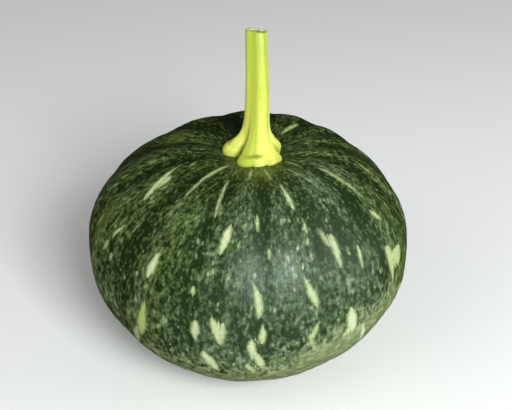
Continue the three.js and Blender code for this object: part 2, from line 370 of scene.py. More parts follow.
class Painter:
    """Adds nodes to one material. Each method that makes one returns the socket that holds its result."""

    def __init__(self, name, ramps=()):
        self.ramps = dict(ramps)
        self.material = bpy.data.materials.new(name)
        self.material.use_nodes = True
        self.tree = self.material.node_tree
        self.shader = self.tree.nodes["Principled BSDF"]

    def put(self, socket, value):
        """Links a result to a socket, or sets a plain value on it."""
        if isinstance(value, bpy.types.NodeSocket):
            self.tree.links.new(value, socket)
        else:
            socket.default_value = value

    def finish(self, **inputs):
        """Gives the shader its inputs, named with _ for each space."""
        for name, value in inputs.items():
            self.put(self.shader.inputs[name.replace("_", " ")], value)

    def attribute(self, name, output="Vector"):
        """A vector that the mesh stores on its vertices, or a number where the output is Fac."""
        node = self.tree.nodes.new("ShaderNodeAttribute")
        node.attribute_name = name
        return node.outputs[output]

    def parts(self, name):
        """The three numbers of a stored vector."""
        node = self.tree.nodes.new("ShaderNodeSeparateXYZ")
        self.put(node.inputs[0], self.attribute(name))
        return node.outputs

    def math(self, operation, *values, clamp=False):
        node = self.tree.nodes.new("ShaderNodeMath")
        node.operation = operation
        node.use_clamp = clamp
        for socket, value in zip(node.inputs, values):
            self.put(socket, value)
        return node.outputs[0]

    def product(self, first, *others):
        for other in others:
            first = self.math("MULTIPLY", first, other)
        return first

    def add(self, total, value, weight=1):
        """The total plus weight times the value."""
        return self.math("MULTIPLY_ADD", value, weight, total)

    def sway(self, total, pattern, weight, clamp=False):
        """The total, raised where a pattern is above its middle and lowered where it is below."""
        above = self.math("SUBTRACT", pattern, PATTERN_MIDDLE)
        return self.math("MULTIPLY_ADD", above, weight, total, clamp=clamp)

    def scaled_chart(self, chart, around, down):
        """A stored chart with so many cells to a millimetre round the piece, and so many down it."""
        node = self.tree.nodes.new("ShaderNodeVectorMath")
        node.operation = "MULTIPLY"
        self.put(node.inputs[0], self.attribute(chart))
        node.inputs[1].default_value = (around, around, down)
        return node.outputs[0]

    def noise(self, chart, around, down, detail, roughness=0.5):
        """Soft noise from 0 to 1, with finer noise on it as detail and roughness say."""
        node = self.tree.nodes.new("ShaderNodeTexNoise")
        self.put(node.inputs["Vector"], self.scaled_chart(chart, around, down))
        node.inputs["Scale"].default_value = 1
        node.inputs["Detail"].default_value = detail
        node.inputs["Roughness"].default_value = roughness
        return node.outputs[0]

    def cells(self, chart, around, down):
        """The distance, in cells, to the nearest of many scattered points."""
        node = self.tree.nodes.new("ShaderNodeTexVoronoi")
        self.put(node.inputs["Vector"], self.scaled_chart(chart, around, down))
        node.inputs["Scale"].default_value = 1
        return node.outputs["Distance"]

    def ramp(self, value, name):
        """A soft step from 0 at its start to its height at its end, which may be below the start."""
        start, end, height = self.ramps[name]
        node = self.tree.nodes.new("ShaderNodeMapRange")
        node.interpolation_type = "SMOOTHSTEP"
        rising = start < end
        self.put(node.inputs["Value"], value)
        node.inputs["From Min"].default_value = start if rising else end
        node.inputs["From Max"].default_value = end if rising else start
        node.inputs["To Min"].default_value = 0 if rising else height
        node.inputs["To Max"].default_value = height if rising else 0
        return node.outputs["Result"]

    def mix(self, first, second, share):
        """A colour between two, the first where share is 0 and the second where it is 1."""
        first_colour, second_colour, mixed_colour = 6, 7, 2  # the node's sockets for colours
        node = self.tree.nodes.new("ShaderNodeMix")
        node.data_type = "RGBA"
        self.put(node.inputs[0], share)
        self.put(node.inputs[first_colour], first)
        self.put(node.inputs[second_colour], second)
        return node.outputs[mixed_colour]

    def bump(self, height, distance):
        """A normal that shows height as relief, of so many metres where height is 1."""
        node = self.tree.nodes.new("ShaderNodeBump")
        node.inputs["Strength"].default_value = 1
        node.inputs["Distance"].default_value = distance
        self.put(node.inputs["Height"], height)
        return node.outputs[0]


# The rind's colours.
DEEP_GREEN = linear(22, 38, 5)
MID_GREEN = linear(79, 97, 46)
SPECK_GREEN = linear(134, 149, 106)
# The bluer greens of the painted sheen, which random bluer bands also bring out.
DEEP_BLUE_TONE_AND_SHEEN = linear(35, 52, 24)
MID_BLUE_TONE_AND_SHEEN = linear(75, 93, 64)
SPECK_BLUE_TONE_AND_SHEEN = linear(129, 143, 115)
DOT_GREEN = linear(150, 168, 120)
OLIVE = linear(80, 98, 26)
PALE_SKIN = linear(112, 128, 82)
PALE_BLOTCH = linear(156, 168, 124)
PALE_FLECK = linear(206, 214, 182)
SHADED_FLECK = linear(148, 162, 112)
YELLOW_FLECK = linear(186, 202, 108)
SCAR_BROWN = linear(150, 128, 88)
SHEEN_TEAL = linear(238, 255, 245)

# The rind's patterns. Each has its chart and how many bumps there are in a millimetre round it and down it.
# A noise also has its detail and, if that isn't 0.5, its roughness.
RIND_NOISES = {
    "speckle": ("skin", 0.36, 0.28, 2, 0.6),
    "dash": ("skin", 0.52, 0.19, 1),
    "winding": ("skin", 0.26, 0.2, 1),
    "cloud": ("grain", 0.09, 0.045, 2),
    "band": ("grain", 0.12, 0.008, 1),
    "blotch": ("skin", 0.2, 0.24, 3, 0.6),
    "cluster": ("grain", 0.2, 0.12, 1),
    "ragged": ("grain", 0.8, 0.5, 3, 0.6),
    "fine": ("grain", 1.6, 0.9, 2),
}
RIND_CELLS = {
    "pepper": ("skin", 0.32, 0.24),
    "dot": ("grain", 0.21, 0.12),
}

# How light the skin is, from about 0 to 1: its middle, and what the patterns, the painted shade and the
# painted light add to it.
SKIN_LIGHT = 0.462
LIGHT_WEIGHTS = {"speckle": 0.8, "dash": 0.45, "cloud": 0.2, "band": 0.16}
PAINTED_SHADE_WEIGHT = -0.12

# Soft steps on the rind: where each starts and ends, and its height.
RIND_RAMPS = {
    "thread": (0.05, 0.0, 0.07),  # light, where the winding noise is near its middle
    # The crown and groove steps darken the skin, partly its own colour and partly painted shade.
    "crown": (95, 15, -0.07),  # light, by millimetres from the crown
    "groove_tone_and_shade": (0.3, 0.85, -0.11),  # light, by the depth of the grooves
    "mid": (0.31, 0.56, 1),
    "speck": (0.5, 0.75, 1),
    "blotch": (0.42, 0.66, 1),
    "pale": (0.1, 0.85, 0.8),
    "olive": (0.1, 0.9, 0.7),
    "pepper": (0.3, 0.08, 0.3),
    "dot": (0.2, 0.08, 0.8),
    "cluster": (0.45, 0.6, 1),
    "off_crown": (20, 80, 1),  # millimetres from the crown
    "fleck": (-0.8, 0.8, 1),  # millimetres inside a fleck's edge, as for its halo and rim
    "halo": (-1.8, 0.1, 0.5),
    "rim": (3.3, 1.3, 0.8),
    "wide_fleck": (0.4, 1.4, 1),  # millimetres of half-width
    "scar": (9.5, 7.5, 1),  # millimetres from the blossom end
}

# How strongly a pattern changes the bluer skin of the painted sheen, the pale and olive skin, and a
# fleck's edge and rim, in millimetres.
BAND_IN_BLUE_TONE = 1.2
LIGHT_IN_PALE = 1.6
BLOTCH_IN_OLIVE = 0.8
EDGE_RAGGEDNESS = 2.6
RIM_SPECKLE = 3.0

# How the rind takes the light.
RIND_ROUGHNESS = 0.35
FINE_ROUGHNESS = 0.12
RIND_SPECULAR = 0.4
RIND_BUMP = 0.0001  # metres
BUMP_WEIGHTS = {"speckle": 1.2, "dash": 0.8}


def make_rind():
    """Waxy dark green skin with fine light speckles, thin pale lines and cream-green flecks."""
    paint = Painter("rind", RIND_RAMPS)
    across, half_width, tone = paint.parts("fleck")
    faint = paint.attribute("faint", "Fac")
    dip, from_crown, from_blossom = paint.parts("form")
    pale, olive, painted_shade_and_light = paint.parts("stains_and_painted_light")
    painted_sheen = paint.attribute("painted_sheen", "Fac")
    noises = {name: paint.noise(*settings) for name, settings in RIND_NOISES.items()}
    cells = {name: paint.cells(*settings) for name, settings in RIND_CELLS.items()}

    # Irregular speckles and dashes, a little longer down the fruit than round it, and thin winding lines.
    light = SKIN_LIGHT
    for name, weight in LIGHT_WEIGHTS.items():
        light = paint.sway(light, noises[name], weight)
    off_thread = paint.math("ABSOLUTE", paint.math("SUBTRACT", noises["winding"], PATTERN_MIDDLE))
    light = paint.add(light, paint.ramp(off_thread, "thread"))

    # The skin is darker round the crown and in the grooves, partly its own colour and partly painted shade,
    # and it takes painted shade and painted light from patches.
    light = paint.add(light, paint.ramp(from_crown, "crown"))
    light = paint.add(light, paint.ramp(dip, "groove_tone_and_shade"))
    light = paint.add(light, painted_shade_and_light, PAINTED_SHADE_WEIGHT)
    # A bluer, greyer green where the waxy skin's sheen is painted on, and in random bands.
    blue_tone_and_sheen = paint.sway(painted_sheen, noises["band"], BAND_IN_BLUE_TONE, clamp=True)
    deep = paint.mix(DEEP_GREEN, DEEP_BLUE_TONE_AND_SHEEN, blue_tone_and_sheen)
    mid = paint.mix(MID_GREEN, MID_BLUE_TONE_AND_SHEEN, blue_tone_and_sheen)
    speck = paint.mix(SPECK_GREEN, SPECK_BLUE_TONE_AND_SHEEN, blue_tone_and_sheen)
    colour = paint.mix(deep, mid, paint.ramp(light, "mid"))
    colour = paint.mix(colour, speck, paint.ramp(light, "speck"))

    # Paler skin, which low on the fruit is partly a ground spot and partly painted light bounced from the
    # floor, and olive stains.
    pale_skin = paint.mix(PALE_SKIN, PALE_BLOTCH, paint.ramp(noises["blotch"], "blotch"))
    pale = paint.sway(pale, light, LIGHT_IN_PALE)
    colour = paint.mix(colour, pale_skin, paint.ramp(pale, "pale"))
    olive = paint.sway(olive, noises["blotch"], BLOTCH_IN_OLIVE)
    colour = paint.mix(colour, OLIVE, paint.ramp(olive, "olive"))

    # Fine dots all over, and clusters of larger bright dots away from the crown.
    colour = paint.mix(colour, speck, paint.ramp(cells["pepper"], "pepper"))
    dot = paint.product(
        paint.ramp(cells["dot"], "dot"),
        paint.ramp(noises["cluster"], "cluster"),
        paint.ramp(from_crown, "off_crown"),
    )
    colour = paint.mix(colour, DOT_GREEN, dot)

    # Flecks, with a soft ragged edge, a greener rim, and a faint olive halo round the wide ones.
    edge = paint.math("SUBTRACT", half_width, paint.math("ABSOLUTE", across))
    edge = paint.sway(edge, noises["ragged"], EDGE_RAGGEDNESS)
    halo = paint.ramp(edge, "halo")
    halo = paint.product(halo, paint.ramp(half_width, "wide_fleck"))
    colour = paint.mix(colour, OLIVE, halo)
    rim = paint.ramp(paint.add(edge, noises["speckle"], RIM_SPECKLE), "rim")
    fleck_colour = paint.mix(paint.mix(PALE_FLECK, YELLOW_FLECK, tone), SHADED_FLECK, rim)
    cover = paint.product(paint.ramp(edge, "fleck"), paint.math("SUBTRACT", 1, faint))
    colour = paint.mix(colour, fleck_colour, cover)

    # The corky blossom scar under the fruit.
    colour = paint.mix(colour, SCAR_BROWN, paint.ramp(from_blossom, "scar"))

    height = noises["fine"]
    for name, weight in BUMP_WEIGHTS.items():
        height = paint.add(height, noises[name], weight)
    paint.finish(
        Base_Color=colour,
        Roughness=paint.add(RIND_ROUGHNESS, noises["fine"], FINE_ROUGHNESS),
        Specular_IOR_Level=RIND_SPECULAR,
        Specular_Tint=SHEEN_TEAL,
        Normal=paint.bump(height, RIND_BUMP),
    )
    return paint.material


# The stem's colours.
FOOT_YELLOW = linear(220, 224, 108)
STEM_YELLOW = linear(198, 206, 86)
STEM_GREEN = linear(164, 178, 58)
STEM_TOP = linear(174, 188, 82)
RIDGE_HIGHLIGHT_CREAM = linear(198, 206, 104)
# The painted shade in the foot's folds.
FOLD_SHADE_GREEN = linear(118, 136, 30)
CUT_PALE = linear(212, 214, 172)
CUT_BROWN = linear(98, 100, 48)

# The stem's patterns, and soft steps as on the rind.
STEM_NOISES = {
    "fibre": ("grain", 0.9, 0.05, 4, 0.6),
    "cloud": ("grain", 0.12, 0.08, 2),
}
STEM_RAMPS = {
    "shaft": (0.15, 0.6, 1),  # by the share of the stem's height
    "top": (0.5, 0.95, 1),
    "above_foot": (0.1, 0.4, 1),
    # Painted shade in the valleys and a painted highlight on the crests.
    "valley": (0.7, 0.1, 0.8),  # by how near a ridge is
    "crest_highlight": (0.8, 1, 0.5),
    "streak": (0.5, 0.7, 0.4),
    "cloud": (0.5, 0.75, 0.3),
    "fold_shade": (0.25, 1.0, 0.85),
    "cut": (0.5, 1, 1),
    "hollow": (1.25, 1.75, 1),
}
CLOUD_IN_FOLD_SHADE = 0.9
STEM_ROUGHNESS = 0.5
STEM_SPECULAR = 0.12
STEM_BUMP = 0.00025  # metres


def make_stem_finish():
    """Fresh yellow-green stem with lengthwise fibres, painted shade in its valleys and in the folds of its
    foot, and painted highlights on its ridges.
    """
    paint = Painter("stem", STEM_RAMPS)
    ridge, share, cut = paint.parts("form")
    fold_shade = paint.attribute("fold_shade", "Fac")
    fibre = paint.noise(*STEM_NOISES["fibre"])
    cloud = paint.noise(*STEM_NOISES["cloud"])
    colour = paint.mix(FOOT_YELLOW, STEM_YELLOW, paint.ramp(share, "shaft"))
    colour = paint.mix(colour, STEM_TOP, paint.ramp(share, "top"))
    # Painted shade in the valleys and a painted highlight on the ridges, all down the lit right side too.
    colour = paint.mix(colour, STEM_GREEN, paint.ramp(ridge, "valley"))
    crest_highlight = paint.ramp(ridge, "crest_highlight")
    crest_highlight = paint.product(crest_highlight, paint.ramp(share, "above_foot"))
    colour = paint.mix(colour, RIDGE_HIGHLIGHT_CREAM, crest_highlight)
    colour = paint.mix(colour, STEM_GREEN, paint.ramp(fibre, "streak"))
    colour = paint.mix(colour, STEM_GREEN, paint.ramp(cloud, "cloud"))
    # Painted shade in the creases of the foot and under its side knobs, broken up by the cloud.
    fold_shade = paint.sway(fold_shade, cloud, CLOUD_IN_FOLD_SHADE)
    colour = paint.mix(colour, FOLD_SHADE_GREEN, paint.ramp(fold_shade, "fold_shade"))
    cut_colour = paint.mix(CUT_PALE, CUT_BROWN, paint.ramp(cut, "hollow"))
    colour = paint.mix(colour, cut_colour, paint.ramp(cut, "cut"))
    paint.finish(
        Base_Color=colour,
        Roughness=STEM_ROUGHNESS,
        Specular_IOR_Level=STEM_SPECULAR,
        Normal=paint.bump(fibre, STEM_BUMP),
    )
    return paint.material


class Fleck(NamedTuple):
    """A pale mark down the fruit, from its top to its bottom. These are pixels of the photograph, or else
    longitudes and depths on the skin."""

    top: tuple
    bottom: tuple
    width: float  # millimetres
    widest: float = 0.5  # the part of the length at which it is widest
    bend: float = 0.0  # millimetres that its middle is moved to the right
    tone: float = 0.3  # from cream (0) to yellow (1)
    faint: float = 0.0  # how much the skin shows through


# Flecks that the camera sees, read in the photograph.
FLECKS = [
    # Round the stem's foot and on the shoulders.
    Fleck((183, 164), (144, 200), 3.7, widest=0.66, bend=1.2, tone=0.4),
    Fleck((172, 176), (158, 188), 2.8, widest=0.4, tone=0.4),
    Fleck((230, 165), (198, 183), 2.9, widest=0.55, tone=0.7),
    Fleck((203, 180), (184, 198), 1.9, widest=0.3, tone=0.4, faint=0.1),
    Fleck((229, 180), (215, 218), 1.3, widest=0.6),
    Fleck((222, 205), (220, 216), 1.0, faint=0.3),
    Fleck((252, 169), (249, 180), 1.2, faint=0.2),
    Fleck((264, 169), (271, 180), 1.0, faint=0.2),
    Fleck((280, 184), (294, 210), 2.4, widest=0.6, tone=0.1),
    Fleck((285, 161), (303, 168), 1.1, faint=0.32),
    Fleck((284, 168), (322, 191), 0.9, faint=0.52),
    Fleck((318, 168), (368, 203), 1.7, widest=0.4, faint=0.45),
    Fleck((369, 210), (381, 220), 2.6, faint=0.22),
    Fleck((358, 164), (374, 175), 1.4, tone=0.6, faint=0.47),
    Fleck((281, 134), (299, 124), 2.4, tone=0.8, faint=0.12),
    Fleck((197, 162), (188, 168), 1.0, faint=0.4),
    Fleck((145, 219), (127, 239), 1.1, faint=0.63),
    # The left side.
    Fleck((105, 213), (97, 226), 3.0, tone=0.6, faint=0.48),
    Fleck((125, 225), (112, 237), 1.8, faint=0.18),
    Fleck((109, 240), (103, 250), 3.4, widest=0.4, tone=0.5, faint=0.48),
    Fleck((112, 253), (110, 260), 2.6, faint=0.48),
    Fleck((161, 250), (147, 278), 4.6, widest=0.62, faint=0.14),
    Fleck((145, 299), (142, 335), 5.8, widest=0.6, tone=0.9, faint=0.36),
    Fleck((137, 325), (138, 342), 5.0, tone=0.4, faint=0.5),
    # The front.
    Fleck((231, 225), (220, 255), 4.3, widest=0.48, tone=0.2, faint=0.04),
    Fleck((257, 215), (258, 232), 1.6),
    Fleck((247, 221), (243, 231), 1.5, faint=0.46),
    Fleck((269, 249), (270, 258), 1.6, faint=0.26),
    Fleck((288, 254), (289, 262), 1.4, faint=0.46),
    Fleck((252, 281), (259, 319), 4.0, widest=0.62, bend=1.6, tone=0.2, faint=0.36),
    Fleck((193, 286), (193, 296), 2.4, faint=0.18),
    Fleck((304, 276), (318, 308), 4.2, widest=0.62, tone=0.2, faint=0.38),
    Fleck((318, 228), (331, 248), 2.6, widest=0.55, faint=0.51),
    Fleck((330, 234), (342, 268), 3.4, widest=0.38, tone=0.1, faint=0.34),
    Fleck((357, 245), (363, 269), 1.9, widest=0.35, faint=0.18),
    Fleck((302, 218), (307, 233), 1.5, widest=0.7, faint=0.12),
    Fleck((307, 237), (308, 246), 1.6, faint=0.26),
    # The lower front.
    Fleck((195, 319), (195, 339), 4.6, tone=0.2, faint=0.32),
    Fleck((212, 317), (221, 346), 4.2, widest=0.45, faint=0.28),
    Fleck((223, 322), (221, 346), 3.4, widest=0.42, faint=0.28),
    Fleck((203, 351), (219, 371), 5.4, widest=0.4, tone=0.2, faint=0.24),
    Fleck((251, 339), (253, 360), 4.2, widest=0.45, faint=0.26),
    Fleck((255, 350), (263, 369), 4.2, widest=0.55, faint=0.26),
    Fleck((246, 364), (254, 372), 3.8, faint=0.36),
    Fleck((263, 324), (262, 344), 3.7, widest=0.62, tone=0.2, faint=0.33),
    # The right side.
    Fleck((319, 320), (310, 342), 3.0, widest=0.6, tone=0.5, faint=0.36),
    Fleck((310, 334), (314, 350), 2.6, widest=0.3, tone=0.5, faint=0.41),
    Fleck((351, 307), (352, 333), 6.4, widest=0.48, tone=0.1, faint=0.28),
    Fleck((350, 326), (343, 338), 3.4, tone=0.2, faint=0.38),
    Fleck((363, 322), (361, 343), 3.4, tone=0.1, faint=0.1),
    Fleck((386, 246), (393, 280), 5.4, widest=0.3, tone=0.5, faint=0.34),
    Fleck((396, 246), (398, 265), 10.0, widest=0.34, tone=0.5, faint=0.34),
    Fleck((400, 282), (397, 293), 4.6, faint=0.4),
]

# Single bright dots, in the photograph's pixels.
BRIGHT_DOTS = [
    (196, 256), (198, 241), (208, 275), (213, 272), (258, 225), (245, 228),
    (255, 276), (281, 221), (289, 220), (298, 247), (304, 228), (307, 242),
    (311, 256), (293, 269), (303, 266), (269, 256), (288, 259),
]
DOT_LENGTH = 6  # pixels
DOT_WIDTH = 1.0  # millimetres
DOT_FAINT = 0.4

# Patches of paler skin, which low on the fruit is partly a ground spot and partly painted light bounced
# from the floor, olive stains, painted shade, which turns to painted light where its strength is below 0,
# and painted sheen, a bluer grey-green. Each has its middle in the photograph's pixels, its reach in
# millimetres round and down the fruit, and its strength.
PATCHES = {
    "pale": [
        ((342, 350), (34, 22), 1.2), ((386, 312), (16, 20), 1.0), ((240, 381), (60, 20), 0.9),
        ((158, 352), (26, 10), 0.4), ((174, 137), (10, 7), 0.6),
    ],
    "olive": [
        ((174, 137), (12, 9), 0.7), ((101, 222), (8, 14), 0.9), ((139, 322), (9, 13), 0.5),
        ((264, 173), (8, 5), 0.9), ((231, 243), (3, 8), 0.4), ((403, 270), (14, 14), 0.9),
    ],
    "painted_shade_and_light": [
        ((178, 280), (4, 22), 0.4), ((120, 254), (24, 24), 1.0), ((231, 122), (16, 16), 1.0),
        ((150, 160), (20, 16), -0.1), ((348, 220), (14, 12), 0.6), ((362, 268), (14, 16), 0.5),
        ((232, 302), (12, 16), 0.5), ((274, 340), (14, 12), 0.6), ((208, 306), (8, 10), 0.7),
        ((325, 248), (4, 8), 0.9), ((354, 250), (9, 14), 0.8), ((104, 292), (12, 10), -0.6),
        ((96, 238), (12, 34), -0.8), ((126, 212), (20, 26), -0.35), ((336, 176), (18, 16), -0.6),
        ((196, 284), (8, 8), -0.3), ((112, 204), (10, 12), -0.5), ((172, 213), (12, 10), -0.6),
        ((302, 188), (18, 16), -0.5), ((318, 148), (18, 14), -0.6), ((338, 282), (12, 12), -0.6),
        ((230, 362), (28, 10), -0.6), ((206, 182), (14, 10), 0.6), ((336, 184), (6, 8), -0.4),
        ((248, 218), (10, 10), -0.5), ((194, 212), (6, 12), -0.4), ((150, 226), (10, 20), 0.4),
        ((270, 190), (6, 14), 0.4), ((354, 190), (12, 14), 0.6), ((290, 246), (34, 14), 0.3),
        ((186, 342), (30, 12), 0.4), ((234, 338), (6, 8), 0.3),
    ],
    "painted_sheen": [
        ((262, 250), (34, 34), 0.7), ((326, 304), (50, 32), 1.0), ((310, 205), (40, 26), 0.6),
        ((270, 350), (70, 30), 0.8),
    ],
}

# Flecks on the sides that the camera doesn't see, drawn by a seeded rule. Depth, length and width are given
# as the least, the most common and the greatest, in millimetres.
HIDDEN_FLECKS = 64
HIDDEN_FLECK_SEED = 5
HIDDEN_DEPTH = (25, 150, 205)
HIDDEN_LENGTH = (6, 14, 30)
HIDDEN_WIDTH = (1.2, 2.6, 5)
HIDDEN_DRIFT = 2  # degrees, usual difference between the longitudes of its ends
HIDDEN_WIDEST = (0.35, 0.65)
HIDDEN_TONE = (0, 0.7)
HIDDEN_FAINT = (0, 0.3)
GLANCING = 0.02  # the camera sees skin that is turned towards it by more than this

# How a place on the skin is found from a pixel.
NUDGE = 0.01  # the part of the way to the fruit's middle that a pixel off the fruit is moved at a time
SHIFT_ROUNDS = 3  # the crown's shift depends on the place, so it is found in rounds

# The field that the material draws the flecks from, in millimetres.
FLECK_FAR = 6.0  # outside every fleck, where the field is cut off
FLECK_BLUNTNESS = 0.7  # the lower, the blunter its ends
FLECK_BESIDE = {"margin": 1.5, "fall": 2}  # past this margin its half-width falls off quickly


def skin_spot(tree, pixel):
    """Longitude and depth of the skin that the camera sees at a pixel of the photograph. A pixel just off
    the fruit counts as the nearest one on it, towards the fruit's middle."""
    across, down = pixel
    world = camera.matrix_world
    hit = None
    while hit is None:
        ray = Vector((across - IMAGE_WIDTH / 2, IMAGE_HEIGHT / 2 - down, -focal_pixels))
        hit = tree.ray_cast(world.translation, (world.to_3x3() @ ray).normalized())[0]
        across += NUDGE * (FRUIT_MIDDLE_PIXEL[0] - across)
        down += NUDGE * (FRUIT_MIDDLE_PIXEL[1] - down)
    spot = np.array(hit) / MM
    shift = 0.0
    for _ in range(SHIFT_ROUNDS):
        longitude = math.degrees(math.atan2(spot[0] - shift, -spot[1]))
        profile = fruit_points(np.full(POLAR_SAMPLES.shape, longitude), POLAR_SAMPLES)
        nearest = np.argmin(np.linalg.norm(profile - spot, axis=1))
        shift = crown_shift(POLAR_SAMPLES[nearest])
    return longitude, DEPTH_SAMPLES[nearest]


def seen_flecks(tree):
    """The flecks and bright dots of the photograph, as places on the skin."""
    half = DOT_LENGTH / 2
    dots = [
        Fleck(top=(x, y - half), bottom=(x, y + half), width=DOT_WIDTH, tone=0, faint=DOT_FAINT)
        for x, y in BRIGHT_DOTS
    ]
    return [
        fleck._replace(top=skin_spot(tree, fleck.top), bottom=skin_spot(tree, fleck.bottom))
        for fleck in FLECKS + dots
    ]


def faces_camera(longitude, depth):
    """Whether the camera sees the skin at a place."""
    step = 0.01
    polar = polar_at(depth)
    here = fruit_points(np.array(longitude), np.array(polar))
    east = fruit_points(np.array(longitude + step), np.array(polar)) - here
    south = fruit_points(np.array(longitude), np.array(polar + step)) - here
    outward = np.cross(south, east)
    outward = outward / np.linalg.norm(outward)
    to_camera = np.array(camera.location) / MM - here
    return outward @ to_camera > GLANCING * np.linalg.norm(to_camera)


def hidden_flecks():
    """Flecks on the sides that the camera doesn't see, like those it does see."""
    rng = np.random.default_rng(HIDDEN_FLECK_SEED)
    placed = []
    while len(placed) < HIDDEN_FLECKS:
        longitude = rng.uniform(-180, 180)
        depth = rng.triangular(*HIDDEN_DEPTH)
        length = rng.triangular(*HIDDEN_LENGTH)
        width = rng.triangular(*HIDDEN_WIDTH)
        drift = rng.normal(0, HIDDEN_DRIFT)
        widest = rng.uniform(*HIDDEN_WIDEST)
        tone = rng.uniform(*HIDDEN_TONE)
        faint = rng.uniform(*HIDDEN_FAINT)
        if faces_camera(longitude, depth) or faces_camera(longitude, depth + length):
            continue
        top, bottom = (longitude, depth), (longitude + drift, depth + length)
        placed.append(Fleck(top, bottom, width, widest, tone=tone, faint=faint))
    return placed


def fleck_field(flecks, longitude, depth):
    """For each vertex, the fleck nearest to it: how far the vertex is off its axis, its half-width there,
    which is negative beyond its ends, its tone and how faint it is."""
    radius = bare_radius(depth)
    best = np.full(len(depth), -FLECK_FAR)
    field = np.tile([FLECK_FAR, -FLECK_FAR, 0.0, 0.0], (len(depth), 1))
    for fleck in flecks:
        (top_turn, top), (bottom_turn, bottom) = fleck.top, fleck.bottom
        length = bottom - top
        share = (depth - top) / length
        inside = np.clip(share, 0, 1)
        drift = turn_between(bottom_turn, top_turn)
        slide = math.radians(drift) * bare_radius((top + bottom) / 2)
        slant = math.hypot(slide, length) / abs(length)
        from_axis = np.radians(turn_between(longitude, top_turn + drift * share)) * radius
        off = (from_axis - fleck.bend * np.sin(np.pi * inside)) / slant
        power = math.log(0.5) / math.log(fleck.widest)  # moves the widest place from the middle
        swollen = np.sin(np.pi * inside**power) ** FLECK_BLUNTNESS
        past_end = np.abs(share - inside) * abs(length)
        past_side = np.maximum(0, np.abs(off) - fleck.width / 2 - FLECK_BESIDE["margin"])
        half = fleck.width / 2 * swollen - past_end - FLECK_BESIDE["fall"] * past_side
        margin = half - np.abs(off)
        nearer = margin > best
        best[nearer] = margin[nearer]
        look = np.broadcast_arrays(off, half, fleck.tone, fleck.faint)
        field[nearer] = np.stack(look, -1)[nearer]
    return field


def patch_field(tree, longitude, depth):
    """For each vertex, how much it lies in patches of each kind."""
    radius = bare_radius(depth)
    columns = []
    for patches in PATCHES.values():
        total = np.zeros(len(depth))
        for pixel, (reach_around, reach_down), strength in patches:
            turn, middle = skin_spot(tree, pixel)
            around = np.radians(turn_between(longitude, turn)) * radius
            total += strength * bell(around, 0, reach_around) * bell(depth, middle, reach_down)
        columns.append(total)
    return np.stack(columns, -1)


def piece_longitudes(turn, ring_count):
    """The longitude of each vertex of a closed loft through so many rings, its ends among them."""
    return np.concatenate([[0], np.tile(turn, ring_count - 2), [0]])


def make_fruit(rind):
    """The fruit, with the CAD model's shape and a finer skin."""
    around, down = FRUIT_STEPS["around"], FRUIT_STEPS["down"]
    turn = np.arange(around) * 360 / around
    rings = [fruit_points(0.0, np.array(0.0))]
    ring_polars = [0.0]
    for i in range(1, down + 1):
        polar = np.full(around, seat_polar * i / down)
        rings.append(fruit_points(turn, polar, fine_relief(turn, polar)))
        ring_polars.append(polar[0])
    for across, up in SCAR_PROFILE:
        rings.append(cylindrical(turn, across, up))
        ring_polars.append(math.pi - math.asin(across / BODY_RADIUS))
    rings.append(np.zeros(3))
    points, faces = closed_loft(rings, around)
    piece = make_piece("squash_fruit", points, faces, rind)

    longitude = piece_longitudes(turn, len(rings))
    polar = np.concatenate([[0], np.repeat(ring_polars[1:], around), [math.pi]])
    depth = depth_at(polar)
    mesh = piece.data
    tree = BVHTree.FromPolygons([v.co for v in mesh.vertices], [p.vertices for p in mesh.polygons])
    store(piece, "grain", cylindrical(longitude, BODY_RADIUS, depth))
    chart_radius = BODY_RADIUS * (CHART_WAIST + (1 - CHART_WAIST) * np.sin(polar))
    store(piece, "skin", cylindrical(longitude, chart_radius, depth))
    field = fleck_field(seen_flecks(tree) + hidden_flecks(), longitude, depth)
    store(piece, "fleck", field[:, :3])
    store(piece, "faint", field[:, 3])
    # How much each vertex lies in the pale patches, the olive stains, the painted shade and light, and the
    # painted sheen.
    patch_shares = patch_field(tree, longitude, depth)
    store(piece, "stains_and_painted_light", patch_shares[:, :3])
    store(piece, "painted_sheen", patch_shares[:, 3])
    from_blossom = np.where(polar < np.pi / 2, BODY_RADIUS, np.hypot(points[:, 0], points[:, 1]))
    dip = rib_dip(longitude) * rib_strength(polar)
    store(piece, "form", np.stack([dip, depth, from_blossom], -1))
    return piece


# The shape of the stem.
crown = fruit_points(np.array(0.0), np.array(0.0))


def stem_centre(share):
    """The stem's centre line, from the crown's middle at share 0 to the cut at share 1."""
    sideways = STEM_BOW["sideways"] * math.sin(math.pi * share) + STEM_DRIFT * share
    return crown + np.array([sideways, STEM_BOW["back"] * share ** STEM_BOW["power"], STEM_HEIGHT * share])


def foot_form(longitude):
    """How far the knobby foot reaches at a longitude, how high its rounded edge is, and over what height it
    narrows to the shaft above that."""
    forms = []
    for knob in FOOT_KNOBS:
        off = turn_between(longitude, knob["longitude"]) / knob["half_width"]
        weight = np.exp(-KNOB_FALL * off**4)
        forms.append([low + (knob[key] - low) * weight for key, low in FOOT_CREASE.items()])
    return np.max(forms, axis=0)


def stem_ridge(longitude, share):
    """1 on the stem's ridges, which turn a little on their way up, and 0 in the valleys between them."""
    climb = float(share) ** RIDGE_TURN
    marks = [foot + (cut - foot) * climb for foot, cut in zip(RIDGES_AT_FOOT, RIDGES_AT_CUT)]
    return rounded(*neighbours(longitude, marks))


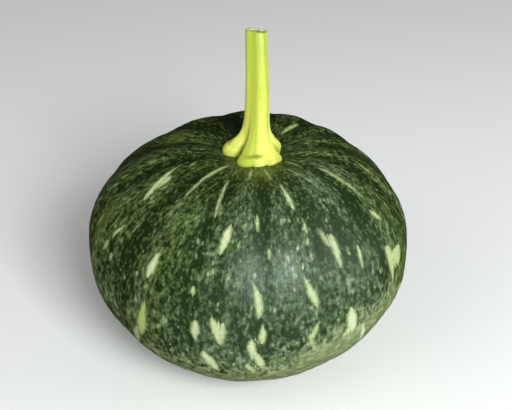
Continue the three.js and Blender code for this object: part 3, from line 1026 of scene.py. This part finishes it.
def foot_fold_shade(longitude, height):
    """How much painted shade a place of the foot gets, from 0 to about 1: in the crease over its rounded
    edge, between two knobs and under the knobs at the side."""
    reach, lip, _ = foot_form(longitude)
    off_front = turn_between(longitude, FOLD_SHADE["longitude"])
    in_front = bell(off_front, 0, FOLD_SHADE["half_width"])
    strength = FOLD_SHADE["sides"] + (FOLD_SHADE["middle"] - FOLD_SHADE["sides"]) * in_front
    over_lip = strength * bell(height, lip + FOLD_SHADE["over_lip"], FOLD_SHADE["half_height"])
    over_lip = over_lip * smooth(reach, *FOLD_SHADE_REACH["over_lip"])
    between = smooth(reach, *FOLD_SHADE_REACH["between"]) * smooth(height, *FOLD_SHADE_HEIGHT["between"])
    underside = KNOB_UNDERSIDE_SHADE * (1 - in_front) * smooth(height, *FOLD_SHADE_HEIGHT["underside"])
    return np.maximum(over_lip, np.maximum(between, underside))


def stem_radius(longitude, height):
    """The stem's radius at a longitude and a height over the crown's middle."""
    share = np.clip(height / STEM_HEIGHT, 0, 1)
    ridge = RIDGE_HEIGHT * (stem_ridge(longitude, share) - RIDGE_MIDDLE)
    shaft = np.interp(share, SHAFT_HEIGHTS, SHAFT_RADII) + ridge
    reach, lip, flare_height = foot_form(longitude)
    over_lip = height - lip
    flare = np.exp(-((np.maximum(0, over_lip) / flare_height) ** FLARE_POWER))
    rounding = LIP_ROUND["depth"] * smooth(height / lip, LIP_ROUND["starts"], 1)
    notch = LIP_NOTCH["depth"] * bell(over_lip, LIP_NOTCH["over_lip"], LIP_NOTCH["half_height"])
    return shaft + (reach - rounding - shaft) * flare - notch


def tilted(share, points):
    """Points of a level of the stem, turned to the stem's lean and moved to its centre line."""
    upright = Vector((0, 0, 1))
    lean = Vector(stem_centre(1) - stem_centre(STEM_LEAN["measured_from"])).normalized()
    axis = upright.lerp(lean, float(smooth(share, STEM_LEAN["starts"], 1))).normalized()
    turn = np.array(upright.rotation_difference(axis).to_matrix())
    return points @ turn.T + stem_centre(share)


def make_stem(finish):
    """The stem, with the CAD model's shape, fibres and a knobbly foot. Its root is inside the fruit."""
    around, up = STEM_STEPS["around"], STEM_STEPS["up"]
    turn = np.arange(around) * 360 / around
    slope = CUT_SLOPE * np.sin(np.radians(turn))
    cut_radius = stem_radius(turn, STEM_HEIGHT)
    rings, forms, fold_shades = [], [], []

    def add(ring, ridge, share, cut, fold_shade=0):
        """Adds a ring, with what the material reads on it."""
        count = np.size(ring) // 3
        rings.append(ring)
        forms.append(np.broadcast_to(np.stack(np.broadcast_arrays(ridge, share, cut), -1), (count, 3)))
        fold_shades.append(np.broadcast_to(fold_shade, count))

    # The cut, which slopes down to the right, from its middle outwards.
    add(tilted(1, np.array([0, 0, -CUT_HOLLOW])), 1, 1, CUT_RINGS[0][-1])
    levels = [(share * cut_radius, CUT_HOLLOW * depth, colour) for share, depth, colour in CUT_RINGS]
    levels += [(cut_radius - inset, depth, colour) for inset, depth, colour in RIM_RINGS]
    for radius, depth, colour in levels:
        add(tilted(1, cylindrical(turn, radius, -depth - slope * radius)), 1, 1, colour)

    # The side, from the cut down to the foot.
    # The right side, painted lighter, where the valleys count as ridges.
    painted_lit_side = bell(turn_between(turn, PAINTED_LIT_SIDE["longitude"]), 0, PAINTED_LIT_SIDE["half_width"])
    for i in range(up + 1):
        share = (1 - i / up) ** STEM_STEPS["crowding"]
        height = STEM_HEIGHT * share
        radius = stem_radius(turn, height)
        fibre_chart = cylindrical(turn, FIBRES["chart_radius"], height * FIBRES["squeeze"])
        fibres = soft_noise(fibre_chart, FIBRES["size"])
        bumps = soft_noise(cylindrical(turn, radius, height), KNOB_BUMPS["size"])
        bumps = bumps * smooth(height, KNOB_BUMPS["none"], KNOB_BUMPS["whole"])
        radius = radius + FIBRE_RELIEF * fibres + KNOB_RELIEF * bumps
        drop = slope * radius * smooth(share, CUT_REACH, 1) + (RIM_DROP if i == 0 else 0)
        # How near a ridge is, for the painted shade and highlight, with the lit right side counted as a
        # ridge.
        ridge_shading = np.maximum(stem_ridge(turn, share), painted_lit_side)
        ring = tilted(share, cylindrical(turn, radius, -drop))
        add(ring, ridge_shading, share, 0, foot_fold_shade(turn, height))

    # The root.
    add(tilted(0, cylindrical(turn, foot_form(turn)[0] - ROOT["inset"], -ROOT["depth"])), 1, 0, 0)
    add(crown - np.array([0, 0, ROOT["depth"]]), 1, 0, 0)
    points, faces = closed_loft(rings, around)
    piece = make_piece("squash_stem", points, faces, finish)
    longitude = piece_longitudes(turn, len(rings))
    store(piece, "grain", cylindrical(longitude, STEM_CHART_RADIUS, points[:, 2]))
    store(piece, "form", np.concatenate(forms))
    store(piece, "fold_shade", np.concatenate(fold_shades))
    return piece


fruit = make_fruit(make_rind())
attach(fruit, "root")
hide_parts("fruit")

stem = make_stem(make_stem_finish())
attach(stem, "root")
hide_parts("stem")


# The floor and the lights. A light's azimuth goes round from the front towards the right. Its distance and
# size are in metres. A light that isn't mirrored leaves no sheen.
FLOOR_SIZE = 6.0
FLOOR_COLOUR = linear(250, 250, 250)
FLOOR_ROUGHNESS = 0.8
COOL = (0.96, 1.0, 0.98)
WHITE = (1.0, 1.0, 1.0)
WARM = (1.0, 1.0, 0.98)
LIGHTS = {
    "key": {"azimuth": 23, "elevation": 33, "distance": 1.3, "size": 0.5, "power": 18, "colour": COOL},
    "side": {"azimuth": 78, "elevation": 14, "distance": 1.0, "size": 0.6, "power": 2.2, "colour": WHITE},
    "fill": {"azimuth": -60, "elevation": 35, "distance": 1.6, "size": 1.2, "power": 5, "colour": WARM},
}
NOT_MIRRORED = ["fill"]
SURROUNDINGS = 0.25
MIRRORED_SURROUNDINGS = 0.02


def make_floor():
    """A plain pale floor under the squash, which isn't mirrored in the waxy skin."""
    half = FLOOR_SIZE / 2
    corners = [(-half, -half, 0), (half, -half, 0), (half, half, 0), (-half, half, 0)]
    mesh = bpy.data.meshes.new("floor")
    mesh.from_pydata(corners, [], [(0, 1, 2, 3)])
    paint = Painter("floor")
    paint.finish(Base_Color=FLOOR_COLOUR, Roughness=FLOOR_ROUGHNESS)
    mesh.materials.append(paint.material)
    floor = bpy.data.objects.new("floor", mesh)
    floor.visible_glossy = False
    bpy.context.scene.collection.objects.link(floor)


def make_light(name, azimuth, elevation, distance, size, power, colour):
    """A square soft light that faces the squash."""
    turn, lift = math.radians(azimuth), math.radians(elevation)
    data = bpy.data.lights.new(name, "AREA")
    data.shape = "SQUARE"
    data.size = size
    data.energy = power
    data.color = colour
    light = bpy.data.objects.new(name, data)
    light.visible_glossy = name not in NOT_MIRRORED
    reach = distance * math.cos(lift)
    offset = Vector((reach * math.sin(turn), -reach * math.cos(turn), distance * math.sin(lift)))
    light.location = fruit_middle + offset
    light.rotation_euler = (-offset).to_track_quat("-Z", "Y").to_euler()
    bpy.context.scene.collection.objects.link(light)


def make_surroundings():
    """White surroundings that light the squash but are dim where they are mirrored in its skin."""
    world = bpy.data.worlds.new("studio")
    world.use_nodes = True
    nodes = world.node_tree.nodes
    rays = nodes.new("ShaderNodeLightPath")
    strength = nodes.new("ShaderNodeMapRange")
    strength.inputs["To Min"].default_value = SURROUNDINGS
    strength.inputs["To Max"].default_value = MIRRORED_SURROUNDINGS
    world.node_tree.links.new(rays.outputs["Is Glossy Ray"], strength.inputs["Value"])
    world.node_tree.links.new(strength.outputs["Result"], nodes["Background"].inputs["Strength"])
    nodes["Background"].inputs["Color"].default_value = (*WHITE, 1)
    bpy.context.scene.world = world


make_floor()
for light_name, settings in LIGHTS.items():
    make_light(light_name, **settings)
make_surroundings()

# The colours of the materials are those of the screen, so the picture isn't toned.
bpy.context.scene.view_settings.view_transform = "Standard"
